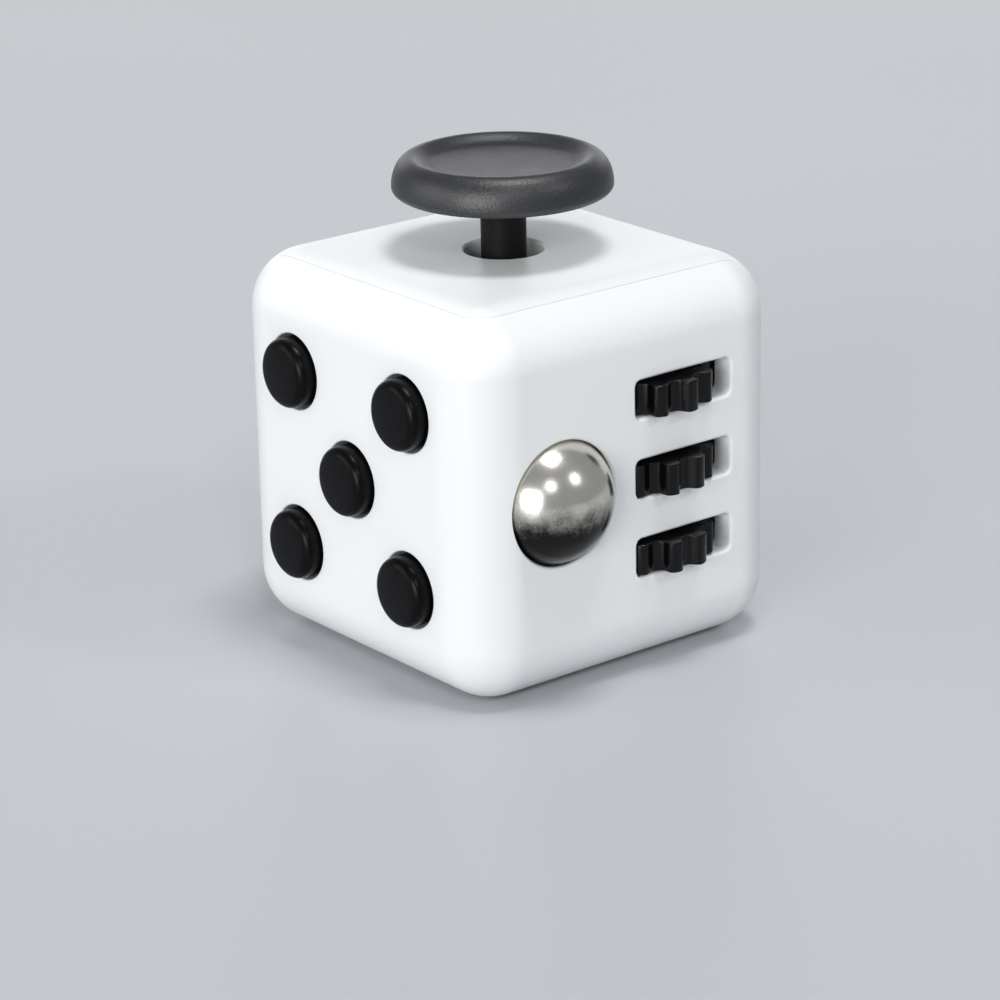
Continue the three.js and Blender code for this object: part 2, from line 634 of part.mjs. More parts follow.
function flipFrame() {
  const { plateIn, plateOut, half, low, high, floor, thick, top, ear, pin } = FLIP;
  const side = (near, far, tip) => join(
    block(Math.min(near, far), Math.max(near, far), -half, high, floor - thick, top),
    block(Math.min(near, tip), Math.max(near, tip), low, high, EAR_TOP - EAR_THICK, EAR_TOP),
  );
  const body = join(
    side(plateIn, plateOut, ear),
    side(-plateIn, -plateOut, -ear),
    block(-plateOut, plateOut, -half, half, floor - thick, floor),
  );
  const bearing = moved(alongX(rod(pin + 0.05, -8, 8, 14)), 0, 0, ROCKER.pivot);
  return cut(body, bearing, ...clearHoles(FLIP_BOSSES, EAR_TOP - 2, EAR_TOP + 1));
}

/** An arched leaf spring; its crown rubs past the ridge on the rocker's back. */
function flipLeaf() {
  const crown = ROCKER.pivot - 3.1;
  const foot = FLIP.floor + 0.05;
  return acrossU([
    [-2.1, foot], [-1.25, foot], [-0.28, crown - 0.48], [0, crown - 0.38], [0.28, crown - 0.48],
    [1.25, foot], [2.1, foot], [2.1, foot + 0.35], [1.45, foot + 0.35], [0.45, crown - 0.15],
    [0, crown], [-0.45, crown - 0.15], [-1.45, foot + 0.35], [-2.1, foot + 0.35],
  ], 1.3);
}

fit('flip', [
  ['rocker', moved(rocker(), 0, 0, ROCKER.pivot), BLACK_GLOSS],
  ['rocker_pin', moved(alongX(rod(FLIP.pin, -FLIP.plateOut, FLIP.plateOut, 12)), 0, 0, ROCKER.pivot), STEEL],
  ['flip_frame', flipFrame(), NYLON],
  ['flip_leaf', flipLeaf(), SPRING_STEEL],
  ...screws('flip', FLIP_BOSSES, EAR_FOOT),
]);

// ---------------------------------------------------------------- spin face

const WHEEL = { radius: 4.8, scallop: 0.25, notches: 12, top: -WALL - 0.3, thick: 1 };
const DIMPLE = { v: 6.3, radius: 6, depth: 1.1 };

function dial() {
  const { radius, recess, rise, shaft } = DIAL;
  const round = 0.9;
  const body = turned([
    [0, -0.4], [SCREW.pilot, -0.4], [SCREW.pilot, WHEEL.top + 0.1], [shaft, WHEEL.top + 0.1],
    [shaft, SEAT - recess], [radius, SEAT - recess],
    ...arc(radius - round, rise - round, round, 0, 90, 2), [0, rise],
  ], 30);
  const finger = new THREE.SphereGeometry(DIMPLE.radius, 20, 20).rotateX(Math.PI / 2);
  return cut(body, finger.translate(0, DIMPLE.v, rise + DIMPLE.radius - DIMPLE.depth));
}

/** The scalloped wheel that holds the dial on and gives it its clicks. */
function wheel() {
  const { radius, scallop, notches, top, thick } = WHEEL;
  const outline = new THREE.Shape(Array.from({ length: notches * 4 }, (_, i) => {
    const angle = 2 * Math.PI * i / (notches * 4);
    const reach = radius + scallop * Math.cos(notches * angle + Math.PI);
    return new THREE.Vector2(reach * Math.cos(angle), reach * Math.sin(angle));
  }));
  const disc = new THREE.ExtrudeGeometry(outline, { depth: thick, bevelEnabled: false });
  return cut(disc.translate(0, 0, top - thick), ...clearHoles([[0, 0]], top - thick - 1, top + 1));
}

function spinLeaf() {
  const [, v] = SPIN_BOSS[0];
  const finger = WHEEL.radius + WHEEL.scallop + 0.2;
  return cut(join(
    block(-1.5, 1.5, finger, v + 1.5, EAR_TOP - 0.3, EAR_TOP),
    block(-0.9, 0.9, finger, finger + 0.3, EAR_TOP - 0.3, WHEEL.top - 0.2),
    moved(rod(0.4, WHEEL.top - WHEEL.thick, WHEEL.top - 0.2, 10), 0, finger, 0),
  ), ...clearHoles(SPIN_BOSS, EAR_TOP - 1, EAR_TOP + 1));
}

fit('spin', [
  ['dial', dial(), BLACK_SATIN],
  ['detent_wheel', wheel(), NYLON],
  ['dial_screw', moved(screw(), 0, 0, WHEEL.top - WHEEL.thick - 0.05), SPRING_STEEL],
  ['spin_leaf', spinLeaf(), SPRING_STEEL],
  ...screws('spin', SPIN_BOSS, EAR_TOP - 0.35),
]);

export default cube;
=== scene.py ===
import json
import math

import bmesh
import bpy
from mathutils import Matrix, Vector


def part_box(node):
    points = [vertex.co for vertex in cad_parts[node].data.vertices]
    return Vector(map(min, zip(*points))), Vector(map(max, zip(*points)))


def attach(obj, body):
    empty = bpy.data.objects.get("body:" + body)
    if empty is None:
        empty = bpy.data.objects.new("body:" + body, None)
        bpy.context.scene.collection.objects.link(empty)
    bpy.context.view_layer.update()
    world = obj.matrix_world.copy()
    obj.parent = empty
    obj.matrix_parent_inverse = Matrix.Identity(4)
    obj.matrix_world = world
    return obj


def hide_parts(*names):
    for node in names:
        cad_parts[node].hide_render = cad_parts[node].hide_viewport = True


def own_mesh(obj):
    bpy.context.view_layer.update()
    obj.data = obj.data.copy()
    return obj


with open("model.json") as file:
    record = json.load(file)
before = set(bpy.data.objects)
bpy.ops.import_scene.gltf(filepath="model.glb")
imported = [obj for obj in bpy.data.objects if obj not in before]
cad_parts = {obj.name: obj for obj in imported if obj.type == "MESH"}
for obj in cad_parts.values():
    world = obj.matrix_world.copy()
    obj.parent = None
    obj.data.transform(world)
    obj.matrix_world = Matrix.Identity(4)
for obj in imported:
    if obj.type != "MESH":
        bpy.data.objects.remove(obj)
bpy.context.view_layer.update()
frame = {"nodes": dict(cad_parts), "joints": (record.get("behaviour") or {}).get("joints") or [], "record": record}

bl_info = {
    "name": "Fidget Cube Maker",
    "version": (1, 0, 0),
    "blender": (4, 5, 0),
    "location": "3D View > Sidebar > Fidget Cube",
    "description": "Builds a moulded fidget cube piece by piece and sets it on a pale studio floor",
    "category": "Add Mesh",
}

# Meshes are drawn in millimetres and stored in metres.
MM = 0.001


# ---------------------------------------------------------------- places taken from the frame

def node_box(node):
    """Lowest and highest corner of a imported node, in millimetres."""
    low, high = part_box(node)
    return Vector(low) / MM, Vector(high) / MM


def node_middle(node):
    low, high = node_box(node)
    return (low + high) / 2


def joint(name):
    return next(j for j in frame["joints"] if j["name"] == name)


def pivot(name):
    return Vector(joint(name)["pos_m"]) / MM


SHELL_LOW = node_box("front_shell")[0]
SHELL_HIGH = node_box("rear_shell")[1]
SIDE = round(SHELL_HIGH.z - SHELL_LOW.z, 3)
HALF = SIDE / 2
X, Y, Z = Vector((1, 0, 0)), Vector((0, 1, 0)), Vector((0, 0, 1))


def face_frame(u, v, w):
    """A face's own frame: u right and v up seen from outside, w outward, from the middle of the face."""
    turn = Matrix((u, v, w)).transposed().to_4x4()
    return Matrix.Translation(w * HALF + Z * HALF) @ turn


FACES = {
    "click": face_frame(X, Z, -Y),
    "roll": face_frame(Y, Z, X),
    "glide": face_frame(X, Y, Z),
    "flip": face_frame(-X, Z, Y),
    "spin": face_frame(-Y, Z, -X),
    "breathe": face_frame(X, -Y, -Z),
}


def on_face(face, point):
    """A point of the row frame, in the face's own frame."""
    return FACES[face].inverted() @ point


BUTTON_NODES = [f"click_button_{i}" for i in range(1, 6)]
BUTTON_SPOTS = [on_face("click", node_middle(node)) for node in BUTTON_NODES]
BALL_SPOT = on_face("roll", pivot("ball_roll"))
GEAR_SPOTS = [on_face("roll", pivot(f"gear_{i}_spin")) for i in (1, 2, 3)]
STICK_SPOT = on_face("glide", pivot("stick_tilt_x"))
ROCKER_SPOT = on_face("flip", pivot("rocker_flip"))
ROCKER_RADIUS = 6.6


# ---------------------------------------------------------------- outlines

def oval_arc(centre, across, up, start, end, steps):
    """(radius, height) points of part of an oval, with its angles in degrees."""
    turns = [math.radians(start + (end - start) * i / steps) for i in range(steps + 1)]
    return [(centre[0] + across * math.cos(a), centre[1] + up * math.sin(a)) for a in turns]


def arc(radius, height, size, start, end, steps):
    """The same for part of a circle of the given size."""
    return oval_arc((radius, height), size, size, start, end, steps)


def rounded_oblong(width, height, corner, steps=8):
    """Corners of a rectangle with round corners, anticlockwise about the middle."""
    x, y = width / 2 - corner, height / 2 - corner
    points = []
    for sx, sy, start in ((1, 1, 0), (-1, 1, 90), (-1, -1, 180), (1, -1, 270)):
        points += arc(sx * x, sy * y, corner, start, start + 90, steps)
    return points


# ---------------------------------------------------------------- meshes

def mesh_object(name, corners, faces, place=None):
    """An object from corners in millimetres, set in place and stored in metres."""
    place = Matrix.Scale(MM, 4) @ (place or Matrix())
    mesh = bpy.data.meshes.new(name)
    mesh.from_pydata([place @ Vector(c) for c in corners], [], faces)
    bm = bmesh.new()
    bm.from_mesh(mesh)
    bmesh.ops.remove_doubles(bm, verts=bm.verts, dist=1e-7)
    bmesh.ops.recalc_face_normals(bm, faces=bm.faces)
    bm.to_mesh(mesh)
    bm.free()
    made = bpy.data.objects.new(name, mesh)
    bpy.context.scene.collection.objects.link(made)
    return made


def turned(name, profile, steps, place=None):
    """A (radius, height) profile turned about Z; it starts and ends on the axis or closes on itself."""
    corners, rings = [], []
    for radius, height in profile:
        count = 1 if abs(radius) < 1e-6 else steps
        rings.append([len(corners) + i for i in range(count)])
        for i in range(count):
            a = 2 * math.pi * i / steps
            corners.append((radius * math.cos(a), radius * math.sin(a), height))
    faces = []
    for lower, upper in zip(rings, rings[1:]):
        for i in range(steps):
            quad = [lower[i % len(lower)], lower[(i + 1) % len(lower)],
                    upper[(i + 1) % len(upper)], upper[i % len(upper)]]
            faces.append(list(dict.fromkeys(quad)))
    return mesh_object(name, corners, [f for f in faces if len(f) > 2], place)


def lofted(name, loops, place=None):
    """Closed loops of equal length joined in order, with the first and last filled."""
    size = len(loops[0])
    corners = [c for loop in loops for c in loop]
    faces = [list(reversed(range(size))), [len(corners) - size + i for i in range(size)]]
    for k in range(len(loops) - 1):
        for i in range(size):
            j = (i + 1) % size
            faces.append([k * size + i, k * size + j, (k + 1) * size + j, (k + 1) * size + i])
    return mesh_object(name, corners, faces, place)


def rounded_block(name, side, radius, steps, place=None):
    """A cube with round edges and corners, every face flat between them."""
    bm = bmesh.new()
    bmesh.ops.create_cube(bm, size=side)
    bmesh.ops.bevel(bm, geom=bm.edges[:], offset=radius, offset_type="OFFSET", segments=steps,
                    profile=0.5, affect="EDGES", clamp_overlap=True)
    corners = [v.co.copy() for v in bm.verts]
    bm.verts.index_update()
    faces = [[v.index for v in f.verts] for f in bm.faces]
    bm.free()
    return mesh_object(name, corners, faces, place)


def carve(target, operation, *tools):
    """Cuts, joins or intersects the target with each tool, then removes the tools."""
    for tool in tools:
        step = target.modifiers.new("carve", "BOOLEAN")
        step.operation = operation
        step.solver = "MANIFOLD"
        step.object = tool
        settle(target)
        bpy.data.objects.remove(tool)
    return target


def settle(target):
    """Applies the target's modifiers to its mesh."""
    graph = bpy.context.evaluated_depsgraph_get()
    mesh = bpy.data.meshes.new_from_object(target.evaluated_get(graph))
    target.modifiers.clear()
    old = target.data
    target.data = mesh
    bpy.data.meshes.remove(old)


def smooth(target, angle=30.0):
    """Smooth shading with creases left sharp, and flat faces kept flat beside small roundings."""
    for face in target.data.polygons:
        face.use_smooth = True
    target.data.set_sharp_from_angle(angle=math.radians(angle))
    weigh = target.modifiers.new("flat faces stay flat", "WEIGHTED_NORMAL")
    weigh.keep_sharp = True
    weigh.weight = 80
    settle(target)


def ease(target, width, steps=2, angle=30.0):
    """Rounds every edge sharper than the angle by a width in millimetres."""
    step = target.modifiers.new("ease", "BEVEL")
    step.width = width * MM
    step.segments = steps
    step.limit_method = "ANGLE"
    step.angle_limit = math.radians(angle)
    step.use_clamp_overlap = True
    step.harden_normals = False
    settle(target)


def copied(name, node):
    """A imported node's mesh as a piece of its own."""
    made = bpy.data.objects.new(name, frame["nodes"][node].data.copy())
    bpy.context.scene.collection.objects.link(made)
    return made


def finish_piece(piece, body, material, slot, *nodes):
    """Paints a piece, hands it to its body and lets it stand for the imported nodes."""
    piece.data.materials.clear()
    piece.data.materials.append(material)
    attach(piece, body)
    if nodes:
        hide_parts(*nodes)
    return piece


# ---------------------------------------------------------------- shader recipes

class Value:
    """One output socket; arithmetic on it adds Math nodes to its tree."""

    def __init__(self, tree, socket):
        self.tree = tree
        self.socket = socket

    def maths(self, operation, first, second):
        node = self.tree.nodes.new("ShaderNodeMath")
        node.operation = operation
        for place, value in zip(node.inputs, (first, second)):
            if isinstance(value, Value):
                self.tree.links.new(value.socket, place)
            else:
                place.default_value = value
        return Value(self.tree, node.outputs[0])

    def __add__(self, other):
        return self.maths("ADD", self, other)

    def __radd__(self, other):
        return self.maths("ADD", other, self)

    def __sub__(self, other):
        return self.maths("SUBTRACT", self, other)

    def __rsub__(self, other):
        return self.maths("SUBTRACT", other, self)

    def __mul__(self, other):
        return self.maths("MULTIPLY", self, other)

    def __rmul__(self, other):
        return self.maths("MULTIPLY", other, self)

    def power(self, other):
        return self.maths("POWER", self, other)


class Recipe:
    """A material's tree: one shader, and one way to add any other node."""

    def __init__(self, name, **constants):
        self.material = bpy.data.materials.new(name)
        self.material.use_nodes = True
        self.tree = self.material.node_tree
        self.tree.nodes.clear()
        self.shader = self.tree.nodes.new("ShaderNodeBsdfPrincipled")
        out = self.tree.nodes.new("ShaderNodeOutputMaterial")
        self.tree.links.new(self.shader.outputs[0], out.inputs[0])
        for socket, value in constants.items():
            self.shader.inputs[socket.replace("_", " ")].default_value = value
        self.place = self.add("ShaderNodeTexCoord", output="Object")

    def add(self, kind, settings=None, inputs=None, output=0):
        node = self.tree.nodes.new(kind)
        for key, value in (settings or {}).items():
            if key == "stops":
                self.set_stops(node.color_ramp, value)
            else:
                setattr(node, key, value)
        for key, value in (inputs or {}).items():
            self.feed(node.inputs[key], value)
        return Value(self.tree, node.outputs[output])

    @staticmethod
    def set_stops(ramp, stops):
        while len(ramp.elements) < len(stops):
            ramp.elements.new(0.5)
        for element, (position, colour) in zip(ramp.elements, stops):
            element.position = position
            element.color = colour

    def feed(self, socket, value):
        if isinstance(value, Value):
            self.tree.links.new(value.socket, socket)
        else:
            socket.default_value = value

    def paint(self, **inputs):
        for key, value in inputs.items():
            self.feed(self.shader.inputs[key.replace("_", " ")], value)

    def noise(self, grain, detail=4.0, roughness=0.55, stretch=None):
        """Noise from 0 to 1 whose features are about grain millimetres across."""
        place = self.place
        if stretch:
            place = self.add("ShaderNodeVectorMath", {"operation": "MULTIPLY"}, {0: place, 1: stretch})
        return self.add("ShaderNodeTexNoise", inputs={
            "Vector": place, "Scale": 1 / (grain * MM), "Detail": detail, "Roughness": roughness,
        })

    def blend(self, factor, first, second):
        """A colour between first and second."""
        return self.add("ShaderNodeMix", {"data_type": "RGBA"}, {0: factor, 6: first, 7: second}, output=2)

    def bump(self, height, depth, strength=1.0):
        """A relief of depth millimetres for a height that runs from 0 to 1."""
        return self.add("ShaderNodeBump", inputs={
            "Height": height, "Distance": depth * MM, "Strength": strength,
        })


def shade(colour, factor):
    """A colour made lighter or darker, for the far end of a blend."""
    return (*(min(1.0, c * factor) for c in colour[:3]), 1.0)


def rgba(colour):
    return (*colour[:3], 1.0)


def moulded_white(colour):
    """Satin ABS: near-even colour, faint flow clouding and a fine spark-eroded skin."""
    recipe = Recipe("moulded_white", IOR=1.5)
    clouds = recipe.noise(9.0, detail=3.0)
    skin = recipe.noise(0.16, detail=3.0)
    specks = recipe.noise(0.6, detail=2.0)
    recipe.paint(
        Base_Color=recipe.blend(clouds, rgba(colour), shade(colour, 0.965)),
        Roughness=0.30 + 0.10 * specks + 0.06 * clouds,
        Normal=recipe.bump(skin * 0.7 + specks * 0.3, 0.012, 0.6),
    )
    return recipe.material


def moulded_black(name, colour, rough, grain=0.12, relief=0.012, level=0.12):
    """Black moulded plastic with handling scuffs that show as rougher, greyer streaks."""
    recipe = Recipe(name, IOR=1.5, Specular_IOR_Level=level)
    skin = recipe.noise(grain, detail=3.0)
    scuffs = recipe.noise(1.6, detail=6.0, roughness=0.7, stretch=(1.0, 1.0, 0.35))
    worn = scuffs.power(3.0)
    recipe.paint(
        Base_Color=recipe.blend(worn, rgba(colour), shade(colour, 2.4)),
        Roughness=rough + 0.22 * worn + 0.05 * skin,
        Normal=recipe.bump(skin, relief, 0.7),
    )
    return recipe.material


def grained_grey(colour):
    """Soft-touch plastic with a sandblasted grain and rubbed patches."""
    recipe = Recipe("grained_grey", IOR=1.47, Specular_IOR_Level=0.75)
    grain = recipe.noise(0.22, detail=2.0)
    fine = recipe.noise(0.09, detail=2.0)
    rub = recipe.noise(5.0, detail=4.0)
    speckle = (grain * 0.6 + fine * 0.4).power(2.0)
    recipe.paint(
        Base_Color=recipe.blend(speckle, shade(colour, 0.5), shade(colour, 2.4)),
        Roughness=0.38 - 0.10 * rub + 0.14 * grain,
        Normal=recipe.bump(grain * 0.65 + fine * 0.35, 0.05, 1.0),
    )
    return recipe.material


def polished_steel(colour, middle, radius):
    """A bearing ball: fine scratches, tiny pits, and painted shade over its lower half, a painted dark reflection
    of the floor with a ragged edge round its middle.
    """
    recipe = Recipe("polished_steel", Metallic=1.0)
    haze = recipe.noise(1.3, detail=6.0, roughness=0.7)
    pits = recipe.noise(0.14, detail=2.0)
    scratch = recipe.noise(0.5, detail=8.0, roughness=0.8, stretch=(1.0, 0.12, 1.0))
    height = recipe.add("ShaderNodeSeparateXYZ", inputs={0: recipe.place}, output=2)
    # Painted reflection: below the ball's middle the colour darkens nearly to black, as if a dark floor were
    # mirrored there.
    below = 0.10 - (height - middle * MM) * (1 / (radius * MM)) + 0.55 * (haze - 0.5) + 0.2 * (pits - 0.5)
    painted_dark_reflection = recipe.add("ShaderNodeMapRange", {"interpolation_type": "SMOOTHSTEP"},
                      {"Value": below, "From Min": -0.18, "From Max": 0.42})
    recipe.paint(
        Base_Color=recipe.blend(painted_dark_reflection, rgba(colour), shade(colour, 0.03)),
        Roughness=0.14 + 0.16 * haze * pits + 0.08 * scratch.power(2.0),
        Normal=recipe.bump(pits * 0.7 + scratch * 0.3, 0.006, 0.5),
    )
    return recipe.material


def drawn_steel(name, colour, rough=0.28):
    """Ground or drawn steel with fine lines along its length and a slight stain."""
    recipe = Recipe(name, Metallic=1.0)
    lines = recipe.noise(0.4, detail=4.0, stretch=(6.0, 6.0, 1.0))
    stain = recipe.noise(2.5, detail=3.0)
    recipe.paint(
        Base_Color=recipe.blend(stain, rgba(colour), shade(colour, 0.7)),
        Roughness=rough + 0.16 * lines,
        Normal=recipe.bump(lines, 0.006, 0.6),
    )
    return recipe.material


def natural_nylon(colour):
    """Unpigmented nylon: waxy, slightly mottled and finely textured."""
    recipe = Recipe("natural_nylon", IOR=1.53)
    mottle = recipe.noise(2.0, detail=3.0)
    skin = recipe.noise(0.2, detail=2.0)
    recipe.paint(
        Base_Color=recipe.blend(mottle, rgba(colour), shade(colour, 0.86)),
        Roughness=0.46 + 0.12 * skin,
        Normal=recipe.bump(skin, 0.012, 0.6),
    )
    return recipe.material


def board_mask(colour):
    """Solder mask over glass cloth: a faint weave and a lacquer sheen."""
    recipe = Recipe("board_mask", IOR=1.5, Coat_Roughness=0.2)
    weave = recipe.add("ShaderNodeTexWave", {"wave_type": "BANDS", "bands_direction": "X"},
                       {"Vector": recipe.place, "Scale": 900.0, "Distortion": 0.6})
    cross = recipe.add("ShaderNodeTexWave", {"wave_type": "BANDS", "bands_direction": "Z"},
                       {"Vector": recipe.place, "Scale": 900.0, "Distortion": 0.6})
    cloth = weave * cross
    recipe.paint(
        Base_Color=recipe.blend(cloth, rgba(colour), shade(colour, 1.6)),
        Roughness=0.36 + 0.1 * cloth,
        Coat_Weight=0.3 + 0.2 * cloth,
        Normal=recipe.bump(cloth, 0.01, 0.5),
    )
    return recipe.material


def milky_silicone(colour):
    """Translucent-looking silicone with a dusty bloom."""
    recipe = Recipe("milky_silicone", IOR=1.41)
    bloom = recipe.noise(0.9, detail=4.0)
    recipe.paint(
        Base_Color=recipe.blend(bloom, rgba(colour), shade(colour, 1.2)),
        Roughness=0.5 + 0.2 * bloom,
        Normal=recipe.bump(bloom, 0.01, 0.4),
    )
    return recipe.material


# ---------------------------------------------------------------- settings

def length(name, description, millimetres, largest=100.0):
    return bpy.props.FloatProperty(name=name, description=description, default=millimetres * MM,
                                   min=0.0, max=largest * MM, unit="LENGTH", precision=5)


def colour(name, description, red, green, blue):
    return bpy.props.FloatVectorProperty(name=name, description=description, subtype="COLOR",
                                         size=3, default=(red, green, blue), min=0.0, max=1.0)


def angle(name, description, degrees):
    return bpy.props.FloatProperty(name=name, description=description,
                                   default=math.radians(degrees), subtype="ANGLE")


class FidgetCasingSettings(bpy.types.PropertyGroup):
    """Sizes and colour of the two moulded halves"""
    edge: length("Edge radius", "Radius of the cube's rounded edges", 5.0)
    wall: length("Wall", "Thickness of the moulded wall", 2.0)
    seam_inset: length("Seam inset", "How far the seam lies behind the front faces", 2.84)
    seam_corner: length("Seam corner", "Radius of the seam where two runs meet", 2.16)
    seam_gap: length("Seam gap", "Width of the parting line", 0.05)
    lip: length("Lip", "How far the rear half reaches inside the front half", 0.6)
    rim: length("Rim", "Rounding of the openings' rims", 0.25)
    skin: colour("Colour", "Colour of the moulded casing", 0.815, 0.83, 0.835)


class FidgetButtonSettings(bpy.types.PropertyGroup):
    """Sizes and colour of the five buttons"""
    hole: length("Hole radius", "Radius of a button's hole", 3.28)
    radius: length("Button radius", "Radius of a button where it leaves its hole", 2.98)
    edge: length("Button edge", "Rounding of a button's rim", 0.82)
    skin: colour("Colour", "Colour of the buttons", 0.0022, 0.0022, 0.0025)


class FidgetRollSettings(bpy.types.PropertyGroup):
    """Sizes and colours of the ball and the three gears"""
    seat: length("Seat radius", "Radius of the ball's round seat in the wall", 5.65)
    slot_width: length("Slot width", "Length of a gear's slot", 10.2)
    slot_height: length("Slot height", "Height of a gear's slot", 3.26)
    slot_corner: length("Slot corner", "Radius of a slot's corners", 0.6)
    slot_place: length("Slot place", "Distance of the slots' middle from the middle of the face", 5.3)
    slot_rise: length("Slot rise", "Height of a slot's middle above its gear's", 0.16)
    relief: length("Relief", "Radius of the room behind a slot", 5.62)
    teeth: bpy.props.IntProperty(name="Teeth", description="Teeth on each gear",
                                 default=11, min=6, max=40)
    tooth_depth: length("Tooth depth", "Height of a gear tooth", 0.95)
    steel: colour("Steel", "Colour of the ball", 0.80, 0.77, 0.70)
    gear_skin: colour("Gear colour", "Colour of the gears", 0.002, 0.002, 0.0023)


class FidgetStickSettings(bpy.types.PropertyGroup):
    """Sizes and colours of the thumb stick"""
    hole: length("Hole radius", "Radius of the hole that the stem stands in", 3.42)
    crest: length("Crest radius", "Radius of the cap's highest circle", 7.55)
    floor: length("Dish radius", "Radius of the flat of the thumb dish", 6.2)
    dip: length("Dish depth", "Depth of the thumb dish below the crest", 0.6)
    cap_skin: colour("Cap colour", "Colour of the thumb cap", 0.015, 0.0155, 0.0165)
    stem_skin: colour("Stem colour", "Colour of the stem", 0.008, 0.008, 0.009)


class FidgetBackSettings(bpy.types.PropertyGroup):
    """Sizes and colours of the rocker, the dial and the worry dish"""
    rocker_gap: length("Rocker gap", "Clearance round the rocker", 0.15)
    dial_recess: length("Dial recess", "Depth of the round seat of the dial", 0.8)
    ribs: bpy.props.IntProperty(name="Ribs", description="Grip ribs round the dial",
                                default=48, min=0, max=200)
    dish_length: length("Dish length", "Length of the worry dish", 20.0)
    dish_width: length("Dish width", "Width of the worry dish", 13.0)
    dish_depth: length("Dish depth", "Depth of the worry dish", 2.2)
    rocker_skin: colour("Rocker colour", "Colour of the rocker", 0.009, 0.009, 0.010)
    dial_skin: colour("Dial colour", "Colour of the dial", 0.011, 0.011, 0.012)


class FidgetStageSettings(bpy.types.PropertyGroup):
    """Camera, floor and lights"""
    azimuth: angle("Azimuth", "Camera direction round the cube, from the button face", 51.76)
    elevation: angle("Elevation", "Camera height above the horizon", 19.58)
    roll: angle("Roll", "Camera roll", -1.2)
    distance: bpy.props.FloatProperty(name="Distance", description="Camera distance", default=0.30856,
                                      unit="LENGTH", precision=5)
    slide: bpy.props.FloatVectorProperty(name="Slide", description="Camera moved right and up in its plane",
                                         size=2, default=(-0.000645, -0.005336), unit="LENGTH", precision=6)
    lens: bpy.props.FloatProperty(name="Lens", description="Focal length on a 36 mm sensor",
                                  default=131.8, unit="CAMERA")
    floor: colour("Floor", "Colour of the floor", 0.47, 0.485, 0.505)


def mm(value):
    return value / MM


# ---------------------------------------------------------------- cutters

def flared_bore(name, radius, depth, flare, place, steps=96):
    """A round hole cutter whose mouth widens in a quarter round."""
    mouth = arc(radius + flare, -flare, flare, 180, 90, 6)
    profile = [(0, -depth), (radius, -depth), *mouth, (radius + flare, 1), (0, 1)]
    return turned(name, profile, steps, place)


def drum(name, radius, low, high, place, steps=96):
    return turned(name, [(0, low), (radius, low), (radius, high), (0, high)], steps, place)


def at(face, u=0.0, v=0.0, w=0.0):
    return FACES[face] @ Matrix.Translation((u, v, w))


LIE_ALONG_U = Matrix.Rotation(math.pi / 2, 4, "Y")
LIE_ALONG_V = Matrix.Rotation(-math.pi / 2, 4, "X")


def flared_slot(settings, v):
    """A gear slot's cutter: a round-cornered oblong with a quarter-round mouth."""
    flare = 0.3
    width, height, corner = mm(settings.slot_width), mm(settings.slot_height), mm(settings.slot_corner)
    steps = [(0.0, -3.2), *((f, w) for f, w in arc(flare, -flare, flare, 180, 90, 5)), (flare, 1.0)]
    loops = []
    for grow, w in steps:
        outline = rounded_oblong(width + 2 * grow, height + 2 * grow, corner + grow)
        loops.append([(x, y, w) for x, y in outline])
    return lofted("slot", loops, at("roll", mm(settings.slot_place), v))


def ball_seat(settings):
    """The round seat of the ball, with an eased mouth."""
    seat, ease_depth = mm(settings.seat), 0.25
    centre = BALL_SPOT.z
    end = math.degrees(math.asin((-ease_depth - centre) / seat))
    round_part = arc(0, centre, seat, -90, end, 28)
    edge = round_part[-1][0]
    mouth = arc(edge + ease_depth, -ease_depth, ease_depth, 180, 90, 5)
    profile = [(0, centre - seat), *round_part[1:], *mouth[1:], (edge + ease_depth, 1), (0, 1)]
    return turned("seat", profile, 128, at("roll", BALL_SPOT.x, BALL_SPOT.y))


def dish_cutter(back):
    """The worry dish: a soft oval hollow that runs out level with the face."""
    steps = 28
    share = [i / steps for i in range(steps + 1)]
    depth = mm(back.dish_depth)
    profile = [(r, -depth * (1 - r * r) ** 1.35) for r in share]
    profile = [*profile, (1.0, 1.0), (0.0, 1.0)]
    stretch = Matrix.Diagonal((mm(back.dish_length) / 2 * 1.06, mm(back.dish_width) / 2 * 1.08, 1, 1))
    return turned("dish", profile, 96, at("breathe") @ stretch)


# ---------------------------------------------------------------- casing

def rounded_cube(name, inset, casing, steps):
    place = Matrix.Translation((0, 0, HALF))
    return rounded_block(name, SIDE - 2 * inset, mm(casing.edge) - inset, steps, place)


def rear_space(casing, grow):
    """The room of the rear half, its rounded corner moved out by grow millimetres."""
    side = 3 * SIDE
    corner = HALF - mm(casing.seam_inset) + grow
    place = Matrix.Translation((corner - side / 2, side / 2 - corner, HALF - corner + side / 2))
    return rounded_block("space", side, mm(casing.seam_corner) + grow, 8, place)


